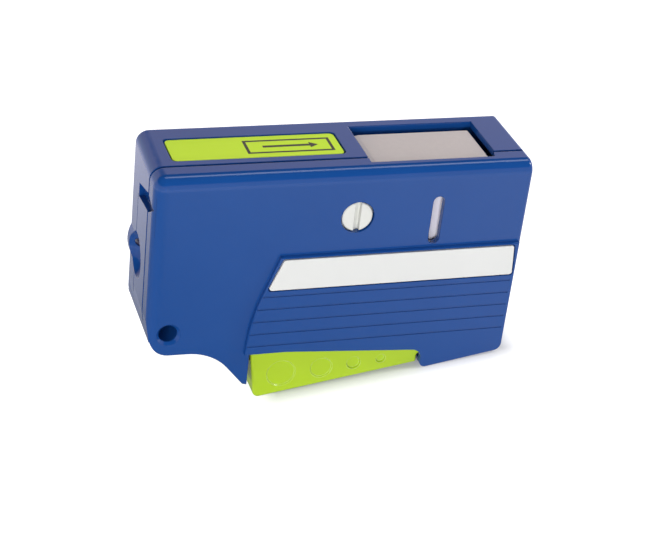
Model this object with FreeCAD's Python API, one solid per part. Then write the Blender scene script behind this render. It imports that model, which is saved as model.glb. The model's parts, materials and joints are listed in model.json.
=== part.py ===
import FreeCAD, Part
import math
import os

from FreeCAD import Vector

# Reel cleaner for fibre connectors, in millimetres.
# Drawn in the case's own frame: X to the right, Y to the back, Z up from the flat top.
# It is then tipped so that it stands on the lever's heel and on its foot.

# Case
CASE_LENGTH = 115.0
CASE_BACK = 32.0
PARTING = 8.66
WALL = 2.0
GROOVE_WIDTH = 1.0
GROOVE_DEPTH = 1.1
SIDE = 2.9
SIDE_PARTING = 2.2
TOP_ROUND = 3.8
SIDE_ROUND = 3.8
RIGHT_ROUND = 1.2
BACK_ROUND = 1.2
BOTTOM_LEFT = -57.6
BOTTOM_ROUND = 6.0
CONTACT_ROUND = 1.8
HANG_HOLE = (8.42, -50.63)
HANG_RADIUS = 2.73
HANG_CHAMFER = 0.9
HANG_BOSS = 4.4
STRAP_HOLE = (5.0, -34.6)
STRAP_RADIUS = 1.5
SCOOP_CENTRE = (21.1, -35.4)
SCOOP_RADIUS = 7.0
SCOOP_BALL = 8.0
LUG_CENTRE = (13.5, -35.4)
LUG_RADIUS = 11.6
POCKET_DEPTH = 2.1
SEAM_LINE = 22.8

# Top label and its recess
LABEL_LEFT = 9.5
LABEL_RIGHT = 60.05
LABEL_FRONT = 11.6
LABEL_BACK = 24.4
LABEL_ROUND = 1.5
LABEL_THICK = 0.7
LABEL_RECESS = 0.9
LABEL_MARGIN = 0.5

# Raised panel on the front cover
PANEL_FRONT = -1.5
PANEL_TOP = -26.2
PANEL_RIGHT = 114.0
PANEL_EDGE = 0.5
RIB_COUNT = 5
RIB_FIRST = -39.05
RIB_PITCH = 4.22
RIB_WIDTH = 0.4
RIB_DEPTH = 0.16
STRIP_SEAT = 0.8
STRIP_PROUD = 0.1
STRIP_MARGIN = 0.4

# Lever bay between the beak and the foot
BEAK = 33.3
BEAK_TIP = -70.4
BAY_TOP = -59.0
FOOT_LEFT = 87.6

# Cleaning window in the top
WINDOW_LEFT = 66.0
WINDOW_RIGHT = 105.3
WINDOW_FRONT = 5.2
WINDOW_BACK = 27.9

# Reels
TAKEUP = (31.0, -33.0)
SUPPLY = (86.4, -33.0)
POST_RADIUS = 3.25
RUNNING_CLEARANCE = 0.08
CORE_RADIUS = 7.7
TAKEUP_FLANGE = 21.0
SUPPLY_FLANGE = 23.6
TAKEUP_ROLL = 12.0
SUPPLY_ROLL = 19.5
FLANGE_FRONT = 3.6
FLANGE_THICK = 0.8
REEL_BACK = 26.6
BRAKE_RADIUS = 6.5
BRAKE_SEAT = 28.0
BOSS_FACE = 3.2
BOSS_RADIUS = 5.2
POST_GAP = 0.15
REEL_PLAY = 0.05

# Tape and what guides it
TAPE_FRONT = 5.4
TAPE_BACK = 25.4
TAPE_THICK = 0.25
TAPE_GAP = 0.1
LEFT_ROLLER = (63.4, -6.0, 2.4)
RIGHT_ROLLER = (102.0, -9.6, 3.0)
ROLLER_POST = 1.2
PAD_LEFT = 68.0
PAD_RIGHT = 103.6
PAD_TOP = -2.05
PAD_BED = -3.6
PAD_END_ROUND = 0.6
CARRIER_BASE = -5.8

# Lever and its drive
GEAR_MODULE = 1.0
PINION_TEETH = 21
SECTOR_TEETH = 120
PIVOT_Z = -62.0
PIVOT_PIN = 1.2
LEVER_FRONT = 0.8
LEVER_BACK = 29.2
LEVER_WALL = 1.8
GEAR_FRONT = 27.2
PRESSURE_ANGLE = math.radians(20.0)
BACKLASH = 0.2
PIN_CLEARANCE = 0.06
PIN_SEAT = 0.8
CLUTCH_POCKET = 6.4
CLUTCH_DEPTH = 8.6
CLUTCH_HUB = 4.9
CLUTCH_WIRE = 0.4
CLUTCH_TURNS = 4
CLUTCH_PITCH = 1.3
DIMPLES = [
    (44.06, -68.0, 4.55, 0.4),
    (56.66, -67.2, 3.5, 0.45),
    (66.86, -66.4, 2.25, 0.7),
    (75.46, -65.6, 1.55, 0.7),
]
DIMPLE_SLOPE = 0.3

# Cover lock
LOCK = (61.93, -15.0)
LOCK_RADIUS = 4.64
LOCK_FACE = 0.3
LOCK_GAP = 0.35
LOCK_COLLAR = 6.0
LOCK_SHAFT = 2.5
LOCK_END = 15.75
LOCK_SLOT = 1.9
LOCK_SLOT_FLOOR = 2.2
BAR_FRONT = 14.2
BAR_HALF_WIDTH = 1.1
BAR_REACH = 4.2
TOWER_RADIUS = 5.8
TOWER_FRONT = 12.0
TOWER_PLATE = 2.0
KEYHOLE_PLAY = 0.2

# View slot over the supply reel
SLOT_LEFT = 84.7
SLOT_RIGHT = 88.2
SLOT_TOP = -9.6
SLOT_BOTTOM = -25.3
SLOT_ROUND = 1.74

PINION_PITCH = GEAR_MODULE * PINION_TEETH / 2
SECTOR_PITCH = GEAR_MODULE * SECTOR_TEETH / 2
PIVOT_X = TAKEUP[0] + math.sqrt((PINION_PITCH + SECTOR_PITCH) ** 2 - (TAKEUP[1] - PIVOT_Z) ** 2)
PIVOT = (PIVOT_X, PIVOT_Z)
MESH_ANGLE = math.atan2(TAKEUP[1] - PIVOT[1], TAKEUP[0] - PIVOT[0])
SPRING_POST = (PIVOT_X + 5.2, -54.2)
INNER_FACE = CASE_BACK - WALL
REACH = 20.0


def rounded_wire(corners, y):
    """Closed outline in a plane of constant y, through corners of (x, z, radius)."""
    edges = []
    starts = []
    ends = []
    count = len(corners)
    for i in range(count):
        x, z, radius = corners[i]
        corner = Vector(x, y, z)
        before = Vector(corners[i - 1][0], y, corners[i - 1][1]) - corner
        after = Vector(corners[(i + 1) % count][0], y, corners[(i + 1) % count][1]) - corner
        before.normalize()
        after.normalize()
        if radius == 0:
            starts.append(corner)
            ends.append(corner)
            edges.append(None)
            continue
        half = before.getAngle(after) / 2
        inward = before + after
        inward.normalize()
        tangent = radius / math.tan(half)
        middle = corner + inward * (radius / math.sin(half) - radius)
        starts.append(corner + before * tangent)
        ends.append(corner + after * tangent)
        edges.append(Part.Arc(starts[i], middle, ends[i]).toShape())
    outline = []
    for i in range(count):
        if edges[i] is not None:
            outline.append(edges[i])
        following = starts[(i + 1) % count]
        if ends[i].distanceToPoint(following) > 1e-6:
            outline.append(Part.LineSegment(ends[i], following).toShape())
    return Part.Wire(outline)


def plate(corners, front, back):
    """Solid of a front-view outline between two depths."""
    face = Part.Face(rounded_wire(corners, front))
    return face.extrude(Vector(0, back - front, 0))


def rod(centre, radius, front, back):
    """Round solid along Y."""
    return Part.makeCylinder(radius, back - front, Vector(centre[0], front, centre[1]), Vector(0, 1, 0))


def block(left, right, front, back, low, high):
    """Box between six planes."""
    return Part.makeBox(right - left, back - front, high - low, Vector(left, front, low))


def edges_in(shape, low, high, tolerance=1e-3):
    """Edges that lie wholly between two corners of a box."""
    found = []
    for edge in shape.Edges:
        ends = [vertex.Point for vertex in edge.Vertexes] + [edge.CenterOfMass]
        inside = all(
            low[axis] - tolerance <= point[axis] <= high[axis] + tolerance
            for point in ends
            for axis in range(3)
        )
        if inside:
            found.append(edge)
    return found


def arc_centre(before, corner, after):
    """Centre of the rounding at a corner of (x, z, radius)."""
    here = Vector(corner[0], 0, corner[1])
    one = Vector(before[0], 0, before[1]) - here
    two = Vector(after[0], 0, after[1]) - here
    half = one.getAngle(two) / 2
    inward = one.normalize() + two.normalize()
    return here + inward.normalize() * (corner[2] / math.sin(half))


# Outlines in the front view

FOOT_CORNER = (FOOT_LEFT, -68.95, CONTACT_ROUND)
FOOT_END = (CASE_LENGTH, -64.5, 3.0)
BAY_CORNER = (FOOT_LEFT, -62.25, 3.2)
BAY_BEND = (44.0, BAY_TOP, 40.0)

CASE_OUTLINE = [
    (SIDE, 0.0, 0),
    (CASE_LENGTH, 0.0, 0),
    FOOT_END,
    FOOT_CORNER,
    BAY_CORNER,
    BAY_BEND,
    (BEAK, BAY_TOP, 0),
    (BEAK, BEAK_TIP, 0),
    (31.9, -70.0, 0),
    (22.0, -57.9, 16.0),
    (SIDE, BOTTOM_LEFT, BOTTOM_ROUND),
]

CAVITY = [
    (SIDE + WALL, -WALL, 3.0),
    (CASE_LENGTH - WALL, -WALL, 0),
    (CASE_LENGTH - WALL, -62.7, 1.5),
    (FOOT_LEFT + 0.4, -66.7, 0),
    (FOOT_LEFT + 0.4, -80.0, 0),
    (BEAK, -80.0, 0),
    (BEAK, -57.2, 0),
    (22.0, -55.9, 0),
    (SIDE + WALL, BOTTOM_LEFT + WALL, BOTTOM_ROUND - WALL),
]

BEAK_POCKET = [
    (22.5, -56.0, 0),
    (BEAK - WALL, -56.5, 0),
    (BEAK - WALL, -66.6, 0.5),
]

PANEL_OUTLINE = [
    (PANEL_RIGHT, PANEL_TOP, 0),
    (PANEL_RIGHT, -64.35, 2.6),
    FOOT_CORNER,
    BAY_CORNER,
    BAY_BEND,
    (31.5, BAY_TOP, 0),
    (32.3, -47.0, 60.0),
    (39.8, PANEL_TOP, 0),
]

NAME_STRIP = [
    (40.8, -27.0, 0.8),
    (112.2, -27.0, 0.8),
    (113.0, -36.9, 0.8),
    (36.6, -36.9, 0.8),
]

STRIP_SEAT_OUTLINE = [
    (40.8 - STRIP_MARGIN, -27.0 + STRIP_MARGIN, 1.0),
    (112.2 + STRIP_MARGIN, -27.0 + STRIP_MARGIN, 1.0),
    (113.0 + STRIP_MARGIN, -36.9 - STRIP_MARGIN, 1.0),
    (36.6 - STRIP_MARGIN, -36.9 - STRIP_MARGIN, 1.0),
]

LEVER_OUTLINE = [
    (34.1, -57.6, 0.8),
    (34.1, -61.2, 30.0),
    (36.1, -76.3, CONTACT_ROUND),
    (87.3, -68.07, 0.5),
    (87.3, -65.0, 0.6),
    (PIVOT[0], -65.2, 0),
    (PIVOT[0] + 1.5, -58.9, 1.5),
    (84.0, -58.9, 30.0),
]

LEVER_HOLLOW = [
    (30.0, -50.0, 0),
    (30.0, -63.8, 0),
    (36.6, -63.8, 0),
    (38.3, -74.0, 1.0),
    (110.0, -62.4, 0),
    (110.0, -50.0, 0),
]


def side_draft(front, back, left_front, left_back):
    """Left side of the case between two depths, drawn in towards the back."""

    def outline(y, left):
        return rounded_wire(
            [
                (SIDE + 7.0, 0.0, 0),
                (left, 0.0, 0),
                (left, -47.0, 0),
                (SIDE + 0.1, -53.5, 0),
                (SIDE + 7.0, -53.5, 0),
            ],
            y,
        )

    return Part.makeLoft([outline(front, left_front), outline(back, left_back)], True, True)


def strap_scoop():
    """Round dish in the left side that leads a strap into its hole."""
    surface = SIDE_PARTING + 0.4
    x = surface - math.sqrt(SCOOP_BALL ** 2 - SCOOP_RADIUS ** 2)
    return Part.makeSphere(SCOOP_BALL, Vector(x, SCOOP_CENTRE[0], SCOOP_CENTRE[1]))


def pry_pocket():
    """Slanting pocket across the joint, where a blade lifts the cover off."""
    corners = [(21.8, -12.0), (21.8, -16.3), (7.2, -13.6), (2.2, -10.4), (8.5, -8.1)]
    profile = [Vector(SIDE_PARTING + POCKET_DEPTH, y, z) for y, z in corners]
    return Part.Face(Part.makePolygon(profile + profile[:1])).extrude(Vector(-REACH, 0, 0))


def pocket_floor(front, back):
    """Thick wall behind the pocket, inside the case."""
    return block(SIDE, SIDE + 3.4, front, back, -18.5, -6.0)


def parting_groove():
    """Shadow gap round the cover's rear edge, on its top and both sides."""
    front = PARTING - GROOVE_WIDTH
    left = SIDE_PARTING + GROOVE_DEPTH
    right = CASE_LENGTH - GROOVE_DEPTH
    kept = plate(
        [
            (left, -GROOVE_DEPTH, SIDE_ROUND - GROOVE_DEPTH),
            (right, -GROOVE_DEPTH, RIGHT_ROUND - GROOVE_DEPTH),
            (right, -62.0, 0),
            (CASE_LENGTH + 2 * REACH, -62.0, 0),
            (CASE_LENGTH + 2 * REACH, -100.0, 0),
            (-2 * REACH, -100.0, 0),
            (-2 * REACH, -50.0, 0),
            (left + 0.3, -50.0, 0),
            (left, -47.0, 0),
        ],
        front - 1,
        PARTING + 1,
    )
    return block(-REACH, CASE_LENGTH + REACH, front, PARTING, -90.0, REACH).cut(kept)


def window():
    """Opening of the cleaning window, with its front right corner cut off."""
    points = [
        (WINDOW_LEFT, WINDOW_FRONT),
        (WINDOW_RIGHT - 1.2, WINDOW_FRONT),
        (WINDOW_RIGHT, WINDOW_FRONT + 4.0),
        (WINDOW_RIGHT, WINDOW_BACK),
        (WINDOW_LEFT, WINDOW_BACK),
    ]
    profile = [Vector(x, y, -WALL - 0.5) for x, y in points]
    outline = Part.makePolygon(profile + profile[:1])
    return Part.Face(outline).extrude(Vector(0, 0, 10))


def front_cover():
    """Front half of the case with its raised, ribbed panel."""
    body = plate(CASE_OUTLINE, 0.0, PARTING)
    body = body.fuse(side_draft(0.0, PARTING, SIDE_PARTING, SIDE_PARTING)).removeSplitter()
    top_edge = edges_in(body, (SIDE_PARTING, 0, 0), (CASE_LENGTH, 0, 0))
    body = body.makeFillet(TOP_ROUND, top_edge)
    left_edge = edges_in(body, (SIDE_PARTING, 0, -47.0), (SIDE_PARTING, PARTING - 0.01, -1))
    body = body.makeFillet(SIDE_ROUND, left_edge)
    right_edge = edges_in(body, (CASE_LENGTH, 0, -TOP_ROUND), (CASE_LENGTH, TOP_ROUND, 0))
    body = body.makeFillet(RIGHT_ROUND, right_edge)

    panel = plate(PANEL_OUTLINE, PANEL_FRONT, WALL)
    rim = edges_in(panel, (0, PANEL_FRONT, -80), (CASE_LENGTH, PANEL_FRONT, 0))
    panel = panel.makeFillet(PANEL_EDGE, rim)
    for i in range(RIB_COUNT):
        z = RIB_FIRST - i * RIB_PITCH
        groove = block(28.0, PANEL_RIGHT - 1.2, PANEL_FRONT - 1, PANEL_FRONT + RIB_DEPTH,
                       z - RIB_WIDTH / 2, z + RIB_WIDTH / 2)
        panel = panel.cut(groove)
    panel = panel.cut(plate(STRIP_SEAT_OUTLINE, PANEL_FRONT - 1, PANEL_FRONT + STRIP_SEAT))
    body = body.fuse(panel)

    cavity = plate(CAVITY, WALL, PARTING + 1)
    front_edge = edges_in(cavity, (SIDE, WALL, -WALL), (CASE_LENGTH, WALL, -WALL))
    cavity = cavity.makeFillet(TOP_ROUND - WALL, front_edge)
    cavity = cavity.fuse(plate(BEAK_POCKET, WALL, PARTING + 1))
    hollow_panel = plate(
        [
            (PANEL_RIGHT - 1.5, PANEL_TOP - 2.0, 1.0),
            (PANEL_RIGHT - 1.5, -62.7, 1.5),
            (FOOT_LEFT + 0.4, -66.7, 0),
            (FOOT_LEFT + 0.4, -80.0, 0),
            (BEAK, -80.0, 0),
            (BEAK, -50.0, 0),
            (41.9, PANEL_TOP - 2.0, 1.0),
        ],
        PANEL_FRONT + WALL,
        WALL + 0.5,
    )
    body = body.cut(cavity.fuse(hollow_panel))

    bosses = rod(HANG_HOLE, HANG_BOSS, 1.0, PARTING)
    bosses = bosses.fuse(rod(TAKEUP, BOSS_RADIUS, 1.0, BOSS_FACE))
    bosses = bosses.fuse(rod(SUPPLY, BOSS_RADIUS, 0.2, BOSS_FACE))
    bosses = bosses.fuse(pocket_floor(1.5, PARTING))
    body = body.fuse(bosses)
    body = body.cut(rod(HANG_HOLE, HANG_RADIUS, -1, PARTING + 1))
    body = body.cut(Part.makeCone(HANG_RADIUS + HANG_CHAMFER, HANG_RADIUS, HANG_CHAMFER,
                                  Vector(HANG_HOLE[0], 0, HANG_HOLE[1]), Vector(0, 1, 0)))
    for centre in (TAKEUP, SUPPLY):
        body = body.cut(rod(centre, POST_RADIUS + POST_GAP, WALL, BOSS_FACE + 1))
    slot = [
        (SLOT_LEFT, SLOT_TOP, SLOT_ROUND),
        (SLOT_RIGHT, SLOT_TOP, SLOT_ROUND),
        (SLOT_RIGHT, SLOT_BOTTOM, SLOT_ROUND),
        (SLOT_LEFT, SLOT_BOTTOM, SLOT_ROUND),
    ]
    body = body.cut(plate(slot, -1, WALL + 1))
    body = body.cut(rod(LOCK, LOCK_RADIUS + LOCK_GAP, -1, WALL + 1))
    body = body.cut(window())
    body = body.cut(parting_groove())
    body = body.cut(pry_pocket())
    return body.removeSplitter()


def strap_lug():
    """Rounded rib on the left side that a wrist strap passes through."""
    lug = rod(LUG_CENTRE, LUG_RADIUS, 24.5, CASE_BACK)
    lug = lug.makeFillet(1.0, [edge for edge in lug.Edges if edge.Closed])
    return lug.common(block(-REACH, SIDE + 1.0, 0, CASE_BACK, -60, 0))


def lock_tower(back):
    """Hollow post with a keyhole in its front plate that the lock's crossbar passes."""
    plate_back = TOWER_FRONT + TOWER_PLATE
    tower = rod(LOCK, TOWER_RADIUS, TOWER_FRONT, back)
    tower = tower.cut(rod(LOCK, BAR_REACH + 2 * KEYHOLE_PLAY, plate_back, back))
    tower = tower.cut(rod(LOCK, LOCK_SHAFT + KEYHOLE_PLAY, 0, plate_back + 1))
    reach = BAR_REACH + KEYHOLE_PLAY
    half_width = BAR_HALF_WIDTH + KEYHOLE_PLAY
    key_slot = block(LOCK[0] - reach, LOCK[0] + reach, 0, plate_back + 1,
                     LOCK[1] - half_width, LOCK[1] + half_width)
    return tower.cut(key_slot)


def rear_case():
    """Rear half of the case with the posts that carry the moving parts."""
    left_corner = (SIDE, 0.0, SIDE_ROUND)
    right_corner = (CASE_LENGTH, 0.0, RIGHT_ROUND)
    body = plate([left_corner, right_corner] + CASE_OUTLINE[2:], PARTING, CASE_BACK)
    back_edge = edges_in(body, (SIDE, CASE_BACK, 0), (CASE_LENGTH, CASE_BACK, 0))
    body = body.makeFillet(BACK_ROUND, back_edge)
    draft_back = CASE_BACK - BACK_ROUND
    draft = side_draft(PARTING, draft_back, SIDE_PARTING, SIDE)
    corner = edges_in(draft, (SIDE_PARTING, PARTING, 0), (SIDE, draft_back, 0))
    draft = draft.makeFillet(SIDE_ROUND, [edge for edge in corner if edge.Length > draft_back - PARTING])
    body = body.fuse(draft)

    cavity = plate(CAVITY, PARTING - 1, INNER_FACE)
    cavity = cavity.fuse(plate(BEAK_POCKET, PARTING - 1, INNER_FACE))
    body = body.cut(cavity)

    body = body.fuse(strap_lug())
    body = body.fuse(block(SIDE, SIDE + 5.4, 12.5, INNER_FACE, -44.2, -26.5))
    body = body.fuse(pocket_floor(PARTING, 24.5))
    body = body.cut(strap_scoop())
    body = body.cut(rod(STRAP_HOLE, STRAP_RADIUS, SCOOP_CENTRE[0], CASE_BACK + 1))
    body = body.cut(pry_pocket())
    seam_depth = SIDE_PARTING + 0.65
    body = body.cut(block(-REACH, seam_depth, SEAM_LINE - 0.2, SEAM_LINE + 0.2, -49.0, -16.0))

    sunk = INNER_FACE + 0.5
    body = body.fuse(rod(HANG_HOLE, HANG_BOSS, PARTING, sunk))
    body = body.cut(rod(HANG_HOLE, HANG_RADIUS, 0, CASE_BACK + 1))
    for centre in (TAKEUP, SUPPLY):
        body = body.fuse(rod(centre, POST_RADIUS, 2.4, sunk))
    for x, z, radius in (LEFT_ROLLER, RIGHT_ROLLER):
        body = body.fuse(rod((x, z), ROLLER_POST, 4.0, sunk))

    body = body.fuse(rod(SUPPLY, BRAKE_RADIUS, BRAKE_SEAT, sunk))
    body = body.fuse(rod(SPRING_POST, 0.9, 10.0, sunk))

    body = body.fuse(lock_tower(sunk))

    recess = Part.Face(label_outline(LABEL_MARGIN)).extrude(Vector(0, 0, -LABEL_RECESS))
    body = body.cut(recess)
    body = body.cut(window())
    body = body.cut(rod(PIVOT, PIVOT_PIN, 0, CASE_BACK - PIN_SEAT))
    return body.removeSplitter()


def label_outline(margin):
    """Rounded rectangle of the top label in the plane of the top."""
    left, right = LABEL_LEFT - margin, LABEL_RIGHT + margin
    front, back = LABEL_FRONT - margin, LABEL_BACK + margin
    corners = [
        (left, -front, LABEL_ROUND),
        (right, -front, LABEL_ROUND),
        (right, -back, LABEL_ROUND),
        (left, -back, LABEL_ROUND),
    ]
    outline = rounded_wire(corners, 0)
    outline.rotate(Vector(0, 0, 0), Vector(1, 0, 0), 90)
    return outline


def top_label():
    """Thin plate seated in a shallow recess of the top."""
    label = Part.Face(label_outline(0)).extrude(Vector(0, 0, LABEL_THICK))
    label.translate(Vector(0, 0, -LABEL_RECESS))
    return label


def name_strip():
    """White plate let into the raised panel."""
    return plate(NAME_STRIP, PANEL_FRONT - STRIP_PROUD, PANEL_FRONT + STRIP_SEAT)


def cover_lock():
    """Slotted disc on a shaft with a crossbar, a quarter-turn lock."""
    collar_front = WALL + LOCK_GAP
    lock = rod(LOCK, LOCK_RADIUS, LOCK_FACE, collar_front + 0.5)
    lock = lock.makeFillet(0.4, edges_in(lock, (0, LOCK_FACE, -40), (CASE_LENGTH, LOCK_FACE, 0)))
    lock = lock.fuse(rod(LOCK, LOCK_COLLAR, collar_front, collar_front + 1.2))
    lock = lock.fuse(rod(LOCK, LOCK_SHAFT, collar_front, LOCK_END))
    lock = lock.fuse(block(LOCK[0] - BAR_HALF_WIDTH, LOCK[0] + BAR_HALF_WIDTH, BAR_FRONT, LOCK_END,
                           LOCK[1] - BAR_REACH, LOCK[1] + BAR_REACH))
    slot = block(LOCK[0] - LOCK_SLOT / 2, LOCK[0] + LOCK_SLOT / 2, 0, LOCK_SLOT_FLOOR,
                 LOCK[1] - LOCK_RADIUS, LOCK[1] + LOCK_RADIUS)
    return lock.cut(slot).removeSplitter()


def spool(centre, flange, rear_pocket):
    """Reel with two thin flanges on a hollow core."""
    bore = POST_RADIUS + RUNNING_CLEARANCE
    body = rod(centre, CORE_RADIUS, FLANGE_FRONT, REEL_BACK)
    body = body.fuse(rod(centre, flange, FLANGE_FRONT, FLANGE_FRONT + FLANGE_THICK))
    body = body.fuse(rod(centre, flange, REEL_BACK - FLANGE_THICK, REEL_BACK))
    body = body.cut(rod(centre, bore, 0, CASE_BACK))
    if rear_pocket:
        body = body.cut(rod(centre, CLUTCH_POCKET, REEL_BACK - CLUTCH_DEPTH, REEL_BACK + 1))
    return body.removeSplitter()


def tape_roll(centre, radius):
    """Turns of tape wound on a reel."""
    return rod(centre, radius, TAPE_FRONT, TAPE_BACK).cut(rod(centre, CORE_RADIUS, 0, CASE_BACK))


def brake(centre, front, back, radius):
    """Felt washer on a reel post."""
    return rod(centre, radius, front, back).cut(rod(centre, POST_RADIUS + POST_GAP, 0, CASE_BACK))


def guide_roller(x, z, radius):
    """Plain roller on its post, a little wider than the tape."""
    body = rod((x, z), radius, TAPE_FRONT - 0.2, TAPE_BACK + 0.2)
    return body.cut(rod((x, z), ROLLER_POST + RUNNING_CLEARANCE, 0, CASE_BACK))


def cleaning_pad():
    """Soft bed under the tape, rounded where the tape runs on and off."""
    pad = block(PAD_LEFT, PAD_RIGHT, TAPE_FRONT + 0.6, TAPE_BACK + 0.4, PAD_BED, PAD_TOP)
    ends = [edge for edge in edges_in(pad, (0, 0, PAD_TOP), (CASE_LENGTH, CASE_BACK, PAD_TOP))
            if abs(edge.CenterOfMass.x - (PAD_LEFT + PAD_RIGHT) / 2) > 5]
    return pad.makeFillet(PAD_END_ROUND, ends)


def pad_carrier():
    """Moulded shelf that stands on the rear wall and holds the pad."""
    left, right = PAD_LEFT - 0.2, PAD_RIGHT - 0.2
    shelf = block(left, right, TAPE_FRONT, INNER_FACE, PAD_BED - 1.2, PAD_BED)
    for x in (left + 4.0, (left + right) / 2, right - 4.0):
        shelf = shelf.fuse(block(x - 0.6, x + 0.6, TAPE_FRONT, INNER_FACE, CARRIER_BASE, PAD_BED - 1))
    back_wall = block(left, right, WINDOW_BACK + 0.3, INNER_FACE, PAD_BED - 1, -WALL - 0.1)
    return shelf.fuse(back_wall).removeSplitter()


def tape_stops():
    """Circles that the tape bends round, from the supply reel to the take-up reel."""
    bend = PAD_END_ROUND
    return [
        (SUPPLY[0], SUPPLY[1], SUPPLY_ROLL),
        RIGHT_ROLLER,
        (PAD_RIGHT - bend, PAD_TOP - bend, bend),
        (PAD_LEFT + bend, PAD_TOP - bend, bend),
        LEFT_ROLLER,
        (TAKEUP[0], TAKEUP[1], TAKEUP_ROLL),
    ]


def tape_side(offset):
    """Edges of the tape's path at a distance outside the circles, with its two ends."""
    stops = [(x, z, radius + offset) for x, z, radius in tape_stops()]
    runs = []
    for first, second in zip(stops, stops[1:]):
        dx = second[0] - first[0]
        dz = second[1] - first[1]
        span = math.hypot(dx, dz)
        turn = math.asin((first[2] - second[2]) / span)
        heading = math.atan2(dz, dx) - math.pi / 2 + turn
        while runs and heading < runs[-1][2] - 1e-6:
            heading += 2 * math.pi
        normal = Vector(math.cos(heading), 0, math.sin(heading))
        start = Vector(first[0], 0, first[1]) + normal * first[2]
        end = Vector(second[0], 0, second[1]) + normal * second[2]
        runs.append((start, end, heading))
    edges = []
    for i in range(len(runs)):
        start, end, heading = runs[i]
        edges.append(Part.LineSegment(start, end).toShape())
        if i + 1 < len(runs):
            x, z, radius = stops[i + 1]
            middle = (heading + runs[i + 1][2]) / 2
            bend = Vector(x + radius * math.cos(middle), 0, z + radius * math.sin(middle))
            edges.append(Part.Arc(end, bend, runs[i + 1][0]).toShape())
    return edges, runs[0][0], runs[-1][1]


def cleaning_tape():
    """Tape between the two reels, over the rollers and the pad."""
    inner, inner_start, inner_end = tape_side(TAPE_GAP)
    outer, outer_start, outer_end = tape_side(TAPE_GAP + TAPE_THICK)
    ends = [
        Part.LineSegment(inner_end, outer_end).toShape(),
        Part.LineSegment(inner_start, outer_start).toShape(),
    ]
    outline = Part.Wire(Part.__sortEdges__(inner + outer + ends))
    outline.translate(Vector(0, TAPE_FRONT, 0))
    return Part.Face(outline).extrude(Vector(0, TAPE_BACK - TAPE_FRONT, 0))


def involute_half_angle(teeth, radius):
    """Half of the angle that one tooth takes up at a radius."""
    pitch = GEAR_MODULE * teeth / 2
    base = pitch * math.cos(PRESSURE_ANGLE)
    at_pitch = math.pi / (2 * teeth) - BACKLASH / (2 * pitch)
    pressure = math.acos(min(1.0, base / radius))
    involute = math.tan(pressure) - pressure
    involute_at_pitch = math.tan(PRESSURE_ANGLE) - PRESSURE_ANGLE
    return at_pitch + involute_at_pitch - involute


def tooth(centre, teeth, angle):
    """Corners of one tooth from root to root, in rising angle."""
    pitch = GEAR_MODULE * teeth / 2
    base = pitch * math.cos(PRESSURE_ANGLE)
    root = pitch - 1.25 * GEAR_MODULE
    tip = pitch + GEAR_MODULE
    first = max(root, base)
    levels = [first + (tip - first) * step / 3 for step in range(4)]
    flank = [(radius, involute_half_angle(teeth, radius)) for radius in levels]
    if root < base:
        flank.insert(0, (root, flank[0][1]))
    rising = [(radius, angle - half) for radius, half in flank]
    falling = [(radius, angle + half) for radius, half in reversed(flank)]
    return [
        Vector(centre[0] + radius * math.cos(at), 0, centre[1] + radius * math.sin(at))
        for radius, at in rising + falling
    ]


def drive_pinion():
    """Pinion with a long hub that the clutch spring grips."""
    step = 2 * math.pi / PINION_TEETH
    first = MESH_ANGLE + math.pi + step / 2
    points = []
    for i in range(PINION_TEETH):
        points += tooth(TAKEUP, PINION_TEETH, first + i * step)
    outline = Part.makePolygon(points + points[:1])
    outline.translate(Vector(0, GEAR_FRONT, 0))
    gear = Part.Face(outline).extrude(Vector(0, LEVER_BACK - GEAR_FRONT, 0))
    gear = gear.fuse(rod(TAKEUP, CLUTCH_HUB, REEL_BACK - CLUTCH_DEPTH + 0.4, GEAR_FRONT + 1))
    return gear.cut(rod(TAKEUP, POST_RADIUS + RUNNING_CLEARANCE, 0, CASE_BACK)).removeSplitter()


def coil(centre, radius, section, front, turns, pitch):
    """Coil along Y, of a wire whose section is a polygon of (outward, along) points."""
    path = Part.makeHelix(pitch, pitch * turns, radius)
    points = [Vector(radius + outward, 0, along) for outward, along in section]
    profile = Part.makePolygon(points + points[:1])
    spring = Part.Wire(path).makePipeShell([profile], True, True)
    spring.rotate(Vector(0, 0, 0), Vector(1, 0, 0), -90)
    spring.translate(Vector(centre[0], front, centre[1]))
    return spring


def clutch_spring():
    """Wrap spring of square wire on the pinion's hub inside the take-up reel."""
    half = CLUTCH_WIRE
    section = [(-half, -half), (half, -half), (half, half), (-half, half)]
    front = REEL_BACK - CLUTCH_DEPTH + 1.2
    return coil(TAKEUP, CLUTCH_HUB + half + 0.02, section, front, CLUTCH_TURNS, CLUTCH_PITCH)


def sector_arm():
    """Toothed arm that rises from the lever's rear wall to the pinion."""
    step = 2 * math.pi / SECTOR_TEETH
    points = []
    for i in range(-1, 5):
        points += tooth(PIVOT, SECTOR_TEETH, MESH_ANGLE + i * step)
    foot = [Vector(37.6, 0, -58.6), Vector(37.6, 0, -61.0), Vector(60.0, 0, -61.0), Vector(50.0, 0, -38.5)]
    points = points + foot
    outline = Part.makePolygon(points + points[:1])
    outline.translate(Vector(0, GEAR_FRONT, 0))
    return Part.Face(outline).extrude(Vector(0, LEVER_BACK - GEAR_FRONT, 0))


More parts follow.
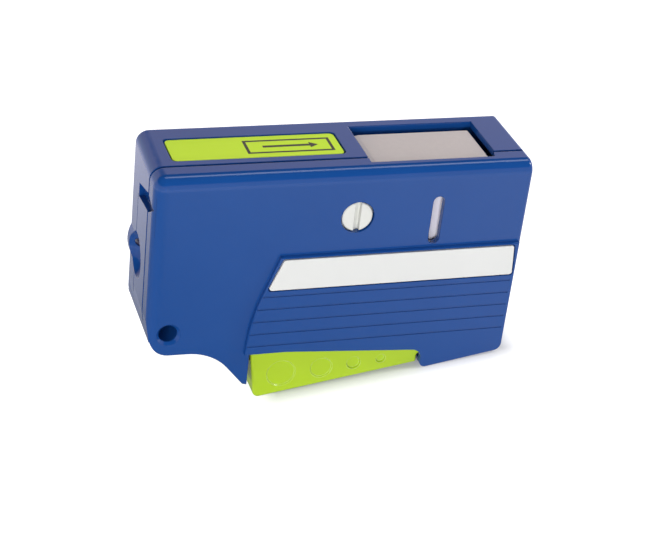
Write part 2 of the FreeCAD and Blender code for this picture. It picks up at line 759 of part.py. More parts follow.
def lever():
    """Squeeze lever: a channel open at the top, with ears on the pin and the drive arm."""
    body = plate(LEVER_OUTLINE, LEVER_FRONT, LEVER_BACK)
    front_edge = edges_in(body, (0, LEVER_FRONT, -80), (88, LEVER_FRONT, -62))
    front_edge = [edge for edge in front_edge if edge.CenterOfMass.z < -63 and edge.CenterOfMass.x < 86.5]
    body = body.makeFillet(0.8, front_edge)
    body = body.fuse(rod(PIVOT, 3.2, LEVER_FRONT, LEVER_BACK))
    body = body.cut(plate(LEVER_HOLLOW, LEVER_FRONT + LEVER_WALL, GEAR_FRONT))
    body = body.cut(rod(PIVOT, 3.6, LEVER_FRONT + LEVER_WALL, GEAR_FRONT))
    body = body.fuse(sector_arm())
    for x, z, radius, depth in DIMPLES:
        place = Vector(x, LEVER_FRONT, z)
        body = body.cut(Part.makeCone(radius, radius - DIMPLE_SLOPE, depth, place, Vector(0, 1, 0)))
    body = body.cut(rod(PIVOT, PIVOT_PIN + PIN_CLEARANCE, 0, CASE_BACK))
    return body.removeSplitter()


def lever_pin():
    """Steel pin across the foot."""
    return rod(PIVOT, PIVOT_PIN, PANEL_FRONT + WALL + 0.1, CASE_BACK - PIN_SEAT)


def lever_spring():
    """Torsion spring round the pin, one leg on the lever's floor and one up to its post."""
    wire = 0.35
    radius = 1.9
    front = 12.0
    turns = 3.25
    pitch = 0.9
    angles = [math.radians(60 * i) for i in range(6)]
    section = [(wire * math.cos(angle), wire * math.sin(angle)) for angle in angles]
    body = coil(PIVOT, radius, section, front, turns, pitch)
    case_leg = Part.makeCylinder(wire, 9.0, Vector(PIVOT[0] + radius, front, PIVOT[1]), Vector(0, 0, 1))
    lever_leg = Part.makeCylinder(wire, 14.0, Vector(PIVOT[0], front + turns * pitch, PIVOT[1] - radius),
                                  Vector(-1, 0, -0.19))
    return body.fuse(case_leg).fuse(lever_leg)


def stand(shape, shift):
    """Tip and move a shape from the case's frame into the standing frame."""
    moved = shape.copy()
    moved.rotate(Vector(0, 0, 0), Vector(0, 1, 0), TILT)
    moved.translate(shift)
    return moved


HEEL = arc_centre(LEVER_OUTLINE[1], LEVER_OUTLINE[2], LEVER_OUTLINE[3])
FOOT = arc_centre(FOOT_END, FOOT_CORNER, BAY_CORNER)
TILT = math.degrees(math.atan2(FOOT.z - HEEL.z, FOOT.x - HEEL.x))

pieces = {
    "rear_case": rear_case(),
    "front_cover": front_cover(),
    "cover_lock": cover_lock(),
    "top_label": top_label(),
    "name_strip": name_strip(),
    "pad_carrier": pad_carrier(),
    "cleaning_pad": cleaning_pad(),
    "cleaning_tape": cleaning_tape(),
    "right_guide_roller": guide_roller(*RIGHT_ROLLER),
    "left_guide_roller": guide_roller(*LEFT_ROLLER),
    "supply_spool": spool(SUPPLY, SUPPLY_FLANGE, False),
    "supply_roll": tape_roll(SUPPLY, SUPPLY_ROLL),
    "supply_brake": brake(SUPPLY, REEL_BACK + REEL_PLAY, BRAKE_SEAT, BRAKE_RADIUS),
    "takeup_spool": spool(TAKEUP, TAKEUP_FLANGE, True),
    "takeup_roll": tape_roll(TAKEUP, TAKEUP_ROLL),
    "takeup_brake": brake(TAKEUP, BOSS_FACE, FLANGE_FRONT - REEL_PLAY, BOSS_RADIUS),
    "drive_pinion": drive_pinion(),
    "clutch_spring": clutch_spring(),
    "lever": lever(),
    "lever_pin": lever_pin(),
    "lever_spring": lever_spring(),
}

whole = Part.makeCompound([stand(shape, Vector(0, 0, 0)) for shape in pieces.values()])
box = whole.optimalBoundingBox(False)
shift = Vector(-(box.XMin + box.XMax) / 2, -(box.YMin + box.YMax) / 2, -box.ZMin)

os.makedirs("parts", exist_ok=True)
for name, shape in pieces.items():
    placed = stand(shape, shift)
    placed.exportStep("parts/" + name + ".step")
    volume = round(placed.Volume, 1)
    print(name, placed.ShapeType, len(placed.Solids), "valid", placed.isValid(), "volume", volume)

print("tilt", round(TILT, 4), "shift", shift)
for label, centre in (("pivot", PIVOT), ("takeup", TAKEUP), ("supply", SUPPLY), ("lock", LOCK),
                      ("left roller", LEFT_ROLLER), ("right roller", RIGHT_ROLLER),
                      ("hang hole", HANG_HOLE), ("strap hole", STRAP_HOLE)):
    point = stand(Part.Vertex(Vector(centre[0], 0, centre[1])), shift).Point
    print(label, [round(value, 4) for value in point])
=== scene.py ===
import json
import math

import bpy
from mathutils import Matrix, Vector


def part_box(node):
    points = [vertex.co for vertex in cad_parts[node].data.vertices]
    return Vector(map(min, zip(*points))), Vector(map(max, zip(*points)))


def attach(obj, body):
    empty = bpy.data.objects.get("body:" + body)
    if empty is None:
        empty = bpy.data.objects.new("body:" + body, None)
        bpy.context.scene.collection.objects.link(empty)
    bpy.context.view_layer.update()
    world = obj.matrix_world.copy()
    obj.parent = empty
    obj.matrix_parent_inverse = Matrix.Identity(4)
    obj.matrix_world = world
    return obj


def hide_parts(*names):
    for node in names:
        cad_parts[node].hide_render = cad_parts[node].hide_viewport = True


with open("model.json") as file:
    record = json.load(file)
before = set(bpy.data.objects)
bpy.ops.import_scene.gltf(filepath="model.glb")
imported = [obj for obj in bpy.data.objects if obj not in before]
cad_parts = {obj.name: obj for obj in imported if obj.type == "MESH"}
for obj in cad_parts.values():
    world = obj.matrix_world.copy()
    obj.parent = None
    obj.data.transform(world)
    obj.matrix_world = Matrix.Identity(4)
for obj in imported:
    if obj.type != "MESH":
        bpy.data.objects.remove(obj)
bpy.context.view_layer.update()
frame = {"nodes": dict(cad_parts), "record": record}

nodes = frame["nodes"]


# Rear case
# The deep half of the housing, injection moulded in glossy blue plastic with the posts
# for every moving part inside. All that follows is built into it.
class Shade:
    """One socket of a material's nodes. Python's operators on it add Math nodes."""

    def __init__(self, tree, socket=None):
        self.tree = tree
        self.socket = socket

    def node(self, kind, settings=None, inputs=None, output=0):
        """Add a node: its settings first, then its sockets' values or links."""
        made = self.tree.nodes.new(kind)
        for name, value in (settings or {}).items():
            if name == "stops":
                ramp = made.color_ramp.elements
                while len(ramp) < len(value):
                    ramp.new(1.0)
                for element, (position, colour) in zip(ramp, value):
                    element.position = position
                    element.color = colour
            else:
                setattr(made, name, value)
        for name, value in (inputs or {}).items():
            socket = self.find(made.inputs, name)
            if isinstance(value, Shade):
                self.tree.links.new(value.socket, socket)
            else:
                socket.default_value = value
        outputs = made.outputs
        return Shade(self.tree, self.find(outputs, output) if len(outputs) else None)

    def find(self, sockets, name):
        """Socket by its number, its identifier or its name."""
        if isinstance(name, int):
            return sockets[name]
        return next(socket for socket in sockets if name in (socket.identifier, socket.name))

    def maths(self, operation, first, second=0.0):
        """Math node on two numbers or sockets."""
        return self.node("ShaderNodeMath", {"operation": operation}, {0: first, 1: second})

    def mix(self, mask, one, two):
        """Colour that goes from one to two as the mask goes from 0 to 1."""
        inputs = {"Factor_Float": mask, "A_Color": one, "B_Color": two}
        return self.node("ShaderNodeMix", {"data_type": "RGBA"}, inputs, "Result_Color")

    def noise(self, scale, detail=2.0):
        """Cloudy noise from 0 to 1 at these coordinates."""
        inputs = {"Vector": self, "Scale": scale, "Detail": detail}
        return self.node("ShaderNodeTexNoise", inputs=inputs, output="Fac")

    def axes(self):
        """The three numbers of a vector."""
        split = self.tree.nodes.new("ShaderNodeSeparateXYZ")
        self.tree.links.new(self.socket, split.inputs[0])
        return [Shade(self.tree, socket) for socket in split.outputs]

    def __add__(self, other):
        return self.maths("ADD", self, other)

    def __radd__(self, other):
        return self.maths("ADD", other, self)

    def __sub__(self, other):
        return self.maths("SUBTRACT", self, other)

    def __rsub__(self, other):
        return self.maths("SUBTRACT", other, self)

    def __mul__(self, other):
        return self.maths("MULTIPLY", self, other)

    def __rmul__(self, other):
        return self.maths("MULTIPLY", other, self)

    def __lt__(self, other):
        return self.maths("LESS_THAN", self, other)

    def __gt__(self, other):
        return self.maths("GREATER_THAN", self, other)

    def __abs__(self):
        return self.maths("ABSOLUTE", self)


def start_finish(name):
    """New material without nodes, and the object coordinates in it."""
    material = bpy.data.materials.new(name)
    material.use_nodes = True
    material.node_tree.nodes.clear()
    place = Shade(material.node_tree).node("ShaderNodeTexCoord", output="Object")
    return material, place


def close_finish(place, inputs):
    """Surface shader and output of a material."""
    surface = place.node("ShaderNodeBsdfPrincipled", inputs=inputs)
    place.node("ShaderNodeOutputMaterial", inputs={"Surface": surface})


MOTTLE_SCALE = 45.0
SKIN_SCALE = 1400.0
EDGE_GAIN = 4.5
PLASTIC_IOR = 1.42


def moulded(name, deep, pale, painted_edge_colour, edge_round, gloss, skin_depth):
    """Moulded plastic: faint flow mottle, uneven gloss, a fine skin, and edges painted lighter or
    darker in place of highlights and shade.
    """
    material, place = start_finish(name)
    mottle = place.noise(MOTTLE_SCALE, 3.0)
    skin = place.noise(SKIN_SCALE)
    edge = place.node("ShaderNodeBevel", {"samples": 4}, {"Radius": edge_round}, "Normal")
    face = place.node("ShaderNodeNewGeometry", output="Normal")
    both = {0: edge, 1: face}
    alike = place.node("ShaderNodeVectorMath", {"operation": "DOT_PRODUCT"}, both, "Value")
    # Edges and grooves, where a colour is painted in place of highlights and shade.
    painted_edge_mask = place.maths("MINIMUM", EDGE_GAIN * (1.0 - alike), 1.0)
    bump_inputs = {"Strength": 0.6, "Distance": skin_depth, "Height": skin, "Normal": edge}
    close_finish(place, {
        "Base Color": place.mix(painted_edge_mask, place.mix(mottle, deep, pale), painted_edge_colour),
        "Roughness": gloss + 0.06 * (mottle - 0.5) + 0.04 * (skin - 0.5),
        "Normal": place.node("ShaderNodeBump", inputs=bump_inputs, output="Normal"),
        "IOR": PLASTIC_IOR,
    })
    return material


def dress(finish, *names):
    """Give CAD nodes a finish."""
    for name in names:
        for slot in nodes[name].material_slots:
            slot.material = finish


BLUE_DEEP = (0.006, 0.062, 0.268, 1.0)
BLUE_PALE = (0.010, 0.074, 0.300, 1.0)
# Darker blue painted into the edges and grooves of the case: painted shade.
BLUE_PAINTED_SHADE = (0.004, 0.042, 0.185, 1.0)
PAINTED_SHADE_REACH = 0.0003
case_blue = moulded(
    "case_blue", BLUE_DEEP, BLUE_PALE, BLUE_PAINTED_SHADE, PAINTED_SHADE_REACH, gloss=0.11, skin_depth=0.000002
)
dress(case_blue, "rear_case")


# Pad carrier and foam pad
# A blue moulded shelf pushed between the rear wall and the window, with a strip of black
# closed-cell foam stuck on it. The foam's ends are rounded where the tape runs over.
tape_face = next(mount for mount in frame["record"]["mounts"] if mount["name"] == "cleaning_face")
tape_centre = Vector(tape_face["pos_m"])
tape_up = Vector(tape_face["axis"])
tape_along = Vector((tape_up.z, 0.0, -tape_up.x))
tilt = math.atan2(tape_up.x, tape_up.z)

dress(case_blue, "pad_carrier")

TAPE_THICKNESS = 0.00025
TAPE_LIFT = 0.0001
PAD_LENGTH = 0.0356
PAD_HEIGHT = 0.00155
PAD_END_ROUND = 0.0006
PAD_SIDE_ROUND = 0.0001
SMOOTH_BELOW = math.radians(30)
MOSTLY = 0.9
HARDLY = 0.1
pad_low, pad_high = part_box("cleaning_pad")
pad_top = tape_centre - tape_up * (TAPE_THICKNESS + TAPE_LIFT)


def deselect():
    """Leave nothing selected."""
    bpy.ops.object.select_all(action="DESELECT")


def finished(name, finish, body, replaced):
    """Name, finish and fix the active object as one piece of the part."""
    piece = bpy.context.object
    piece.name = name
    piece.data.name = name
    piece.data.materials.clear()
    piece.data.materials.append(finish)
    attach(piece, body)
    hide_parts(replaced)


def pick_edges(piece, wanted):
    """In edit mode, select just the edges whose middle and direction are wanted."""
    bpy.ops.mesh.select_all(action="DESELECT")
    bpy.ops.object.mode_set(mode="OBJECT")
    mesh = piece.data
    for edge in mesh.edges:
        first, second = (mesh.vertices[index].co for index in edge.vertices)
        edge.select = wanted((first + second) / 2, (second - first).normalized())
    bpy.ops.object.mode_set(mode="EDIT")


def foam(name, dark, light, cell):
    """Closed-cell foam: matt, with small dark pores."""
    material, place = start_finish(name)
    inputs = {"Vector": place, "Scale": 1.0 / cell}
    pores = place.node("ShaderNodeTexVoronoi", inputs=inputs, output="Distance")
    bump_inputs = {"Strength": 0.8, "Distance": cell / 4, "Height": pores}
    close_finish(place, {
        "Base Color": place.mix(pores, dark, light),
        "Roughness": 0.85 + 0.1 * pores,
        "Normal": place.node("ShaderNodeBump", inputs=bump_inputs, output="Normal"),
    })
    return material


FOAM_DARK = (0.012, 0.012, 0.013, 1.0)
FOAM_LIGHT = (0.05, 0.05, 0.052, 1.0)
FOAM_CELL = 0.0004
pad_middle = pad_top - tape_up * PAD_HEIGHT / 2
pad_middle.y = (pad_low.y + pad_high.y) / 2
pad_size = (PAD_LENGTH, pad_high.y - pad_low.y, PAD_HEIGHT)
deselect()
bpy.ops.mesh.primitive_cube_add(
    size=1.0, location=pad_middle, rotation=(0, tilt, 0), scale=pad_size
)
bpy.ops.object.transform_apply(location=True, rotation=True, scale=True)
foam_pad = bpy.context.object
bpy.ops.object.mode_set(mode="EDIT")
pick_edges(
    foam_pad,
    lambda middle, along: abs(along.y) > MOSTLY and (middle - pad_middle).dot(tape_up) > 0,
)
bpy.ops.mesh.bevel(offset=PAD_END_ROUND, segments=6, affect="EDGES")
pick_edges(foam_pad, lambda middle, along: abs(along.y) < HARDLY)
bpy.ops.mesh.bevel(offset=PAD_SIDE_ROUND, segments=2, affect="EDGES")
bpy.ops.object.mode_set(mode="OBJECT")
bpy.ops.object.shade_smooth_by_angle(angle=SMOOTH_BELOW)
pad_foam = foam("pad_foam", FOAM_DARK, FOAM_LIGHT, FOAM_CELL)
finished("foam_pad", pad_foam, "case", "cleaning_pad")


# Guide rollers
# Two plain white rollers that turn on thin posts and lead the tape up to the pad and
# down from it.
WHITE_DEEP = (0.76, 0.765, 0.72, 1.0)
WHITE_PALE = (0.815, 0.82, 0.775, 1.0)
# Grey painted along the edges of the white parts within this reach; darker than the spools' white, it
# is painted shade there.
WHITE_PAINTED_EDGE = (0.78, 0.78, 0.76, 1.0)
PAINTED_EDGE_REACH = 0.00018
FINE_SKIN = 0.000003
moulded_white = moulded(
    "moulded_white", WHITE_DEEP, WHITE_PALE, WHITE_PAINTED_EDGE, PAINTED_EDGE_REACH, gloss=0.26, skin_depth=FINE_SKIN
)
dress(moulded_white, "left_guide_roller", "right_guide_roller")


# Reels, their wound tape and their felt brakes
# White spools that run on the two thick posts, wound with the cleaning tape. A felt
# washer rubs on each spool so that the tape stays taut.
SPOOL_DEEP = (0.90, 0.86, 0.93, 1.0)
SPOOL_PALE = (0.95, 0.91, 0.98, 1.0)
spool_white = moulded(
    "spool_white", SPOOL_DEEP, SPOOL_PALE, WHITE_PAINTED_EDGE, PAINTED_EDGE_REACH, gloss=0.30, skin_depth=FINE_SKIN
)
dress(spool_white, "supply_spool", "takeup_spool")

FIBRE_SCALE = 4000.0
FIBRE_DEPTH = 0.0001


def felt(name, dark, light):
    """Pressed felt: matt grey with fibres lying every way."""
    material, place = start_finish(name)
    fibres = place.noise(FIBRE_SCALE, 4.0)
    bump_inputs = {"Strength": 0.7, "Distance": FIBRE_DEPTH, "Height": fibres}
    close_finish(place, {
        "Base Color": place.mix(fibres, dark, light),
        "Roughness": 0.9 + 0.08 * fibres,
        "Normal": place.node("ShaderNodeBump", inputs=bump_inputs, output="Normal"),
    })
    return material


FELT_DARK = (0.16, 0.16, 0.16, 1.0)
FELT_LIGHT = (0.34, 0.34, 0.33, 1.0)
dress(felt("brake_felt", FELT_DARK, FELT_LIGHT), "supply_brake", "takeup_brake")

SLUB_SCALE = 600.0


def woven(name, dark, light, thread):
    """Fine plain weave that runs along and across the tape."""
    material, place = start_finish(name)
    inputs = {"Vector": place, "Location": tape_centre, "Rotation": (0, tilt, 0)}
    flat = place.node("ShaderNodeMapping", {"vector_type": "TEXTURE"}, inputs)
    along, across, _ = flat.axes()
    turn = math.pi / thread
    warp = place.maths("SINE", along * turn)
    weft = place.maths("SINE", across * turn)
    weave = 0.5 + 0.5 * warp * weft
    slub = place.noise(SLUB_SCALE, 3.0)
    bump_inputs = {"Strength": 0.5, "Distance": thread / 5, "Height": weave}
    close_finish(place, {
        "Base Color": place.mix(0.35 * weave + 0.65 * slub, dark, light),
        "Roughness": 0.62 + 0.12 * slub,
        "Normal": place.node("ShaderNodeBump", inputs=bump_inputs, output="Normal"),
        "Sheen Weight": 0.15,
        "Sheen Roughness": 0.4,
    })
    return material


TAPE_DARK = (0.62, 0.550, 0.535, 1.0)
TAPE_LIGHT = (0.72, 0.645, 0.625, 1.0)
THREAD = 0.00012
tape_cloth = woven("tape_cloth", TAPE_DARK, TAPE_LIGHT, THREAD)

CORE_RADIUS = 0.0077
TURN = 0.00032
TURN_STEP = 0.00005
ROLL_SIDES = 96


def wound_roll(name, node, body):
    """Roll of tape: a drum whose two faces step in and out from turn to turn."""
    low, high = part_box(node)
    middle = (low + high) / 2
    radius = (high.x - low.x) / 2
    deselect()
    bpy.ops.mesh.primitive_cylinder_add(
        vertices=ROLL_SIDES, radius=radius, depth=high.y - low.y,
        location=middle, rotation=(math.pi / 2, 0, 0),
    )
    bpy.ops.object.transform_apply(location=True, rotation=True, scale=True)
    roll = bpy.context.object
    turns = round((radius - CORE_RADIUS) / TURN)
    thickness = (radius - CORE_RADIUS) / turns
    for face in roll.data.polygons:
        face.select = abs(face.normal.y) > MOSTLY
    bpy.ops.object.mode_set(mode="EDIT")
    bpy.ops.mesh.select_mode(type="FACE")
    for turn in range(turns):
        step = -TURN_STEP if turn % 2 == 0 else TURN_STEP
        bpy.ops.mesh.inset(thickness=thickness, depth=0.0, use_individual=True)
        bpy.ops.transform.shrink_fatten(value=step)
    bpy.ops.mesh.delete(type="ONLY_FACE")
    bpy.ops.mesh.select_mode(type="EDGE")
    bpy.ops.mesh.select_all(action="DESELECT")
    bpy.ops.mesh.select_non_manifold()
    bpy.ops.mesh.bridge_edge_loops()
    bpy.ops.mesh.select_all(action="SELECT")
    bpy.ops.mesh.normals_make_consistent(inside=False)
    bpy.ops.object.mode_set(mode="OBJECT")
    bpy.ops.object.shade_smooth_by_angle(angle=SMOOTH_BELOW)
    finished(name, tape_cloth, body, node)


wound_roll("supply_wound_tape", "supply_roll", "supply_reel")
wound_roll("takeup_wound_tape", "takeup_roll", "takeup_reel")


# Drive pinion and wrap spring
# A white nylon pinion behind the take-up spool. The square steel wire on its hub grips
# the spool on the squeeze and slips on the way back.
dress(moulded_white, "drive_pinion")

POLISH_SCALE = 2500.0


def drawn_steel(name, dark, light):
    """Bright drawn wire with a fine uneven polish."""
    material, place = start_finish(name)
    polish = place.noise(POLISH_SCALE, 3.0)
    close_finish(place, {
        "Base Color": place.mix(polish, dark, light),
        "Roughness": 0.22 + 0.16 * polish,
        "Metallic": 1.0,
    })
    return material


STEEL_DARK = (0.50, 0.50, 0.52, 1.0)
STEEL_LIGHT = (0.68, 0.68, 0.70, 1.0)
bright_steel = drawn_steel("bright_steel", STEEL_DARK, STEEL_LIGHT)
dress(bright_steel, "clutch_spring")


# Squeeze lever with its pin and spring
# A yellow-green moulded channel that swings on a steel pin in the foot. Its toothed arm
# turns the pinion, and a torsion spring on the pin pushes it out again.
LIME_DEEP = (0.45, 0.655, 0.022, 1.0)
LIME_PALE = (0.50, 0.71, 0.030, 1.0)
# Pale lime painted along the lever's edges and dimple rims: painted highlights.
LIME_PAINTED_HIGHLIGHT = (0.88, 0.97, 0.55, 1.0)
lever_lime = moulded(
    "lever_lime", LIME_DEEP, LIME_PALE, LIME_PAINTED_HIGHLIGHT, PAINTED_EDGE_REACH, gloss=0.15, skin_depth=FINE_SKIN
)
dress(lever_lime, "lever")
dress(bright_steel, "lever_pin", "lever_spring")


# Cleaning tape
# Woven microfibre from the supply roll, up round the right roller, flat over the foam
# in the window, round the left roller and down to the take-up roll.
def circle_of(node):
    """Centre and radius of a round node that lies along Y."""
    low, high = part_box(node)
    middle = (low + high) / 2
    return Vector((middle.x, middle.z)), (high.x - low.x) / 2


def pad_end(side):
    """Centre and radius of the rounding at one end of the foam."""
    reach = PAD_LENGTH / 2 - PAD_END_ROUND
    centre = pad_top + tape_along * side * reach - tape_up * PAD_END_ROUND
    return Vector((centre.x, centre.z)), PAD_END_ROUND


BEND_STEP = math.radians(6)
ANGLE_SLACK = 0.000001
MERGE_WITHIN = 0.000001
tape_low, tape_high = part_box("cleaning_tape")
tape_width = tape_high.y - tape_low.y
tape_y = (tape_low.y + tape_high.y) / 2
tape_offset = TAPE_LIFT + TAPE_THICKNESS / 2
stops = [circle_of("supply_roll"), circle_of("right_guide_roller"), pad_end(1), pad_end(-1)]
stops += [circle_of("left_guide_roller"), circle_of("takeup_roll")]

runs = []
for (first, first_radius), (second, second_radius) in zip(stops, stops[1:]):
    span = second - first
    turn = math.asin((first_radius - second_radius) / span.length)
    heading = math.atan2(span.y, span.x) - math.pi / 2 + turn
    while runs and heading < runs[-1][2] - ANGLE_SLACK:
        heading += 2 * math.pi
    out = Vector((math.cos(heading), math.sin(heading)))
    start = first + out * (first_radius + tape_offset)
    end = second + out * (second_radius + tape_offset)
    runs.append((start, end, heading))

deselect()
first_start = runs[0][0]
bpy.ops.mesh.primitive_plane_add(
    size=tape_width, rotation=(0, math.pi / 2, 0),
    location=(first_start.x, tape_y, first_start.y - tape_width / 2),
)
bpy.ops.object.transform_apply(location=True, rotation=True, scale=True)
tape = bpy.context.object
bpy.ops.object.mode_set(mode="EDIT")
bpy.ops.mesh.select_mode(type="VERT")
bpy.ops.mesh.select_all(action="DESELECT")
bpy.ops.object.mode_set(mode="OBJECT")
for vertex in tape.data.vertices:
    vertex.select = vertex.co.z < first_start.y - tape_width / 2
bpy.ops.object.mode_set(mode="EDIT")
bpy.ops.mesh.delete(type="VERT")
bpy.ops.mesh.select_all(action="SELECT")
tape_length = 0.0
for index, (start, end, heading) in enumerate(runs):
    move = end - start
    tape_length += move.length
    bpy.ops.mesh.extrude_region_move(TRANSFORM_OT_translate={"value": (move.x, 0, move.y)})
    if index + 1 < len(runs):
        centre, radius = stops[index + 1]
        bend = runs[index + 1][2] - heading
        tape_length += bend * (radius + tape_offset)
        bpy.ops.mesh.spin(
            steps=max(2, round(bend / BEND_STEP)), angle=bend,
            center=(centre.x, tape_y, centre.y), axis=(0, 1, 0),
        )
bpy.ops.mesh.select_all(action="SELECT")
bpy.ops.mesh.remove_doubles(threshold=MERGE_WITHIN)
bpy.ops.mesh.normals_make_consistent(inside=False)
bpy.ops.object.mode_set(mode="OBJECT")
bpy.ops.object.modifier_add(type="SOLIDIFY")
tape.modifiers[-1].thickness = TAPE_THICKNESS
tape.modifiers[-1].offset = 0.0
bpy.ops.object.modifier_apply(modifier=tape.modifiers[-1].name)
bpy.ops.object.shade_smooth_by_angle(angle=SMOOTH_BELOW)
finished("woven_tape", tape_cloth, "case", "cleaning_tape")


# Front cover
# The shallow half of the housing in the same blue, with a raised panel, shallow ribs and
# a view slot over the supply reel. It hooks on and is held by the lock.
dress(case_blue, "front_cover")


# Cover lock
# A white disc with a coin slot; a quarter turn brings the bar on its shaft in line with
# the keyhole behind, and the cover comes off.
dress(moulded_white, "cover_lock")


# Top label and name strip
# A yellow-green film in a shallow recess of the top, printed with a framed arrow that
# shows the way to wipe, and a bare white plate let into the panel.
LABEL_LIME = (0.66, 0.95, 0.015, 1.0)
LABEL_INK = (0.010, 0.018, 0.006, 1.0)
label_low, label_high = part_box("top_label")
label_centre = (label_low + label_high) / 2
FRAME_MIDDLE = 0.0101
FRAME_LENGTH = 0.0252
FRAME_WIDTH = 0.0072
FRAME_LINE = 0.0009
SHAFT_TAIL = 0.0023
SHAFT_END = 0.0164
SHAFT_LINE = 0.0012
HEAD_TIP = 0.0190
HEAD_SLOPE = 0.62
FILM_SCALE = 900.0
FILM_DEPTH = 0.000004


def printed_label(name):
    """Coloured film with a dark frame and an arrow in it."""
    material, place = start_finish(name)
    inputs = {"Vector": place, "Location": label_centre, "Rotation": (0, tilt, 0)}
    flat = place.node("ShaderNodeMapping", {"vector_type": "TEXTURE"}, inputs)
    along, across, _ = flat.axes()
    beside = abs(along - FRAME_MIDDLE) - FRAME_LENGTH / 2
    above = abs(across) - FRAME_WIDTH / 2
    frame_line = abs(place.maths("MAXIMUM", beside, above)) < FRAME_LINE / 2
    shaft = (abs(across) < SHAFT_LINE / 2) * (along > SHAFT_TAIL) * (along < SHAFT_END)
    head = (abs(across) < (HEAD_TIP - along) * HEAD_SLOPE) * (along > SHAFT_END)
    ink = place.maths("MAXIMUM", frame_line, place.maths("MAXIMUM", shaft, head))
    film = place.noise(FILM_SCALE)
    bump_inputs = {"Strength": 0.4, "Distance": FILM_DEPTH, "Height": film}
    close_finish(place, {
        "Base Color": place.mix(ink, LABEL_LIME, LABEL_INK),
        "Roughness": 0.36 + 0.1 * (film - 0.5) - 0.06 * ink,
        "Normal": place.node("ShaderNodeBump", inputs=bump_inputs, output="Normal"),
    })
    return material


dress(printed_label("printed_label"), "top_label")

STRIP_DEEP = (0.78, 0.785, 0.765, 1.0)
STRIP_PALE = (0.82, 0.825, 0.805, 1.0)
strip_white = moulded(
    "strip_white", STRIP_DEEP, STRIP_PALE, WHITE_PAINTED_EDGE, PAINTED_EDGE_REACH, gloss=0.36, skin_depth=FINE_SKIN
)
dress(strip_white, "name_strip")


# Floor, lights and camera
# A white studio table under a strip lamp, with large soft lamps in front and on the left,
# a small one on the right and a low one behind; the camera looks down on the front from
# the left.
FLOOR_SIZE = 6.0
FLOOR_WHITE = (0.60, 0.60, 0.60, 1.0)
NO_GLOW = (0.0, 0.0, 0.0, 1.0)
# Dimmer glow painted round the feet: a painted shadow.
NEAR_GLOW = (0.19, 0.19, 0.205, 1.0)
FAR_GLOW = (0.90, 0.90, 0.90, 1.0)
MIRRORED_GLOW = (0.86, 0.82, 1.0, 1.0)
FOOT_MIDDLE = (0.014, 0.0, 0.0)
FOOTPRINT = (0.036, 0.0145, 0.0)
SHADOW_REACH = 0.008
BACKDROP_MIDDLE = (-0.15, -0.03, 0.0)
BACKDROP_NEAR = 0.105
BACKDROP_FAR = 0.25
deselect()
bpy.ops.mesh.primitive_plane_add(size=FLOOR_SIZE, location=(0, 0, 0))
floor = bpy.context.object
floor.name = "floor"
floor_white, floor_place = start_finish("floor_white")


def vector_maths(operation, first, second=(0.0, 0.0, 0.0), output="Vector"):
    """Vector Math node of the floor's material."""
    inputs = {0: first, 1: second}
    return floor_place.node("ShaderNodeVectorMath", {"operation": operation}, inputs, output)


def ramp_between(value, low, high):
    """0 below the low value, 1 above the high one."""
    inputs = {"Value": value, "From Min": low, "From Max": high}
    return floor_place.node("ShaderNodeMapRange", inputs=inputs, output="Result")


def camera_rays(place):
    """1 for the rays that come straight from the camera."""
    return place.node("ShaderNodeLightPath", output="Is Camera Ray")


def mirror_rays(place):
    """1 for the rays that glossy and clear pieces send out."""
    glossy = place.node("ShaderNodeLightPath", output="Is Glossy Ray")
    clear = place.node("ShaderNodeLightPath", output="Is Transmission Ray")
    return place.maths("MAXIMUM", glossy, clear)


# The camera sees a table that glows white, and less round the feet: there the glow is painted dimmer,
# a painted shadow added to the shadow the lamps cast.
from_feet = vector_maths("ABSOLUTE", vector_maths("SUBTRACT", floor_place, FOOT_MIDDLE))
past_feet = vector_maths("SUBTRACT", from_feet, FOOTPRINT)
clear_of_part = vector_maths("LENGTH", vector_maths("MAXIMUM", past_feet), output="Value")
out_of_painted_shadow = ramp_between(clear_of_part, 0.0, SHADOW_REACH)
seen_glow = floor_place.mix(out_of_painted_shadow, NEAR_GLOW, FAR_GLOW)
# Glossy pieces mirror a dark patch of table on the left and a pale table beyond it.
from_middle = vector_maths("DISTANCE", floor_place, BACKDROP_MIDDLE, "Value")
far_away = ramp_between(from_middle, BACKDROP_NEAR, BACKDROP_FAR)
mirrored_glow = floor_place.mix(far_away, NO_GLOW, MIRRORED_GLOW)
glow_colour = floor_place.mix(mirror_rays(floor_place), NO_GLOW, mirrored_glow)
glow_colour = floor_place.mix(camera_rays(floor_place), glow_colour, seen_glow)
glow = floor_place.node("ShaderNodeEmission", inputs={"Color": glow_colour, "Strength": 1.0})
table = floor_place.node("ShaderNodeBsdfDiffuse", inputs={"Color": FLOOR_WHITE})
lit_table = floor_place.node("ShaderNodeAddShader", inputs={0: table, 1: glow})
floor_place.node("ShaderNodeOutputMaterial", inputs={"Surface": lit_table})
floor.data.materials.append(floor_white)

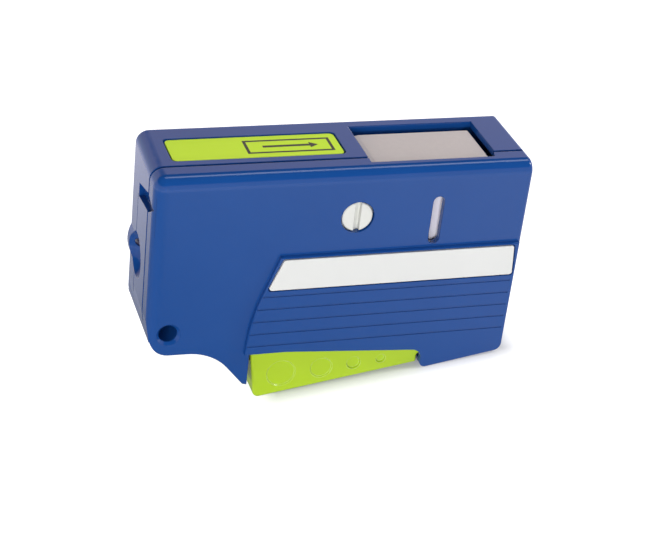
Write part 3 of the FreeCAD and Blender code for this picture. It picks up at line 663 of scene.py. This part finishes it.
scene = bpy.context.scene
scene.view_settings.view_transform = "Standard"
scene.world = bpy.data.worlds.new("studio")
scene.world.use_nodes = True
scene.world.node_tree.nodes.clear()
room = Shade(scene.world.node_tree)
height = room.node("ShaderNodeTexCoord", output="Generated").axes()[2]
LOW_WALL = (1.0, 1.0, 1.0, 1.0)
WARM_WALL = (0.96, 0.74, 0.72, 1.0)
DARK_CEILING = (0.03, 0.03, 0.03, 1.0)
WALL_STOPS = [(0.0, LOW_WALL), (0.46, WARM_WALL), (0.53, DARK_CEILING)]
walls = room.node("ShaderNodeValToRGB", {"stops": WALL_STOPS}, {"Fac": height}, "Color")
AMBIENT = (0.13, 0.13, 0.135, 1.0)
BACKDROP_WHITE = (1.0, 1.0, 1.0, 1.0)
seen_room = room.mix(mirror_rays(room), AMBIENT, walls)
seen_room = room.mix(camera_rays(room), seen_room, BACKDROP_WHITE)
background = room.node("ShaderNodeBackground", inputs={"Color": seen_room, "Strength": 1.0})
room.node("ShaderNodeOutputWorld", inputs={"Surface": background})

MIDDLE = Vector((0.0, 0.0, 0.04))


def lamp(name, place, length_way, length, width, power, mirrored):
    """Rectangular soft lamp that faces the part, its length lying one way."""
    back = (Vector(place) - MIDDLE).normalized()
    along = (length_way - back * back.dot(length_way)).normalized()
    aim = Matrix((along, back.cross(along), back)).transposed().to_euler()
    deselect()
    bpy.ops.object.light_add(type="AREA", location=place, rotation=aim)
    light = bpy.context.object
    light.name = name
    light.data.shape = "RECTANGLE"
    light.data.size = length
    light.data.size_y = width
    light.data.energy = power
    light.visible_glossy = mirrored


RIGHT = Vector((1, 0, 0))
BACK = Vector((0, 1, 0))
lamp("strip_lamp", (0.25, 0.21, 0.70), RIGHT, length=0.60, width=0.18, power=1.25, mirrored=True)
lamp("front_lamp", (-0.33, -1.0, 0.27), RIGHT, length=0.9, width=0.5, power=8.7, mirrored=False)
lamp("left_lamp", (-0.90, -0.05, 0.30), BACK, length=0.6, width=0.5, power=2.4, mirrored=False)
lamp("right_lamp", (0.60, -0.16, 0.50), BACK, length=0.16, width=0.16, power=2.4, mirrored=True)
lamp("rear_lamp", (0.25, 1.0, 0.08), RIGHT, length=0.9, width=0.12, power=5.0, mirrored=False)

CAMERA_PLACE = (-0.117672, -0.41671, 0.31311)
CAMERA_TURN = (56.9743, 1.9503, -16.7449)
CAMERA_LENS = 95.57
SENSOR_WIDTH = 36.0
deselect()
camera_angles = [math.radians(angle) for angle in CAMERA_TURN]
bpy.ops.object.camera_add(location=CAMERA_PLACE, rotation=camera_angles)
camera = bpy.context.object
camera.data.sensor_width = SENSOR_WIDTH
camera.data.lens = CAMERA_LENS
scene.camera = camera
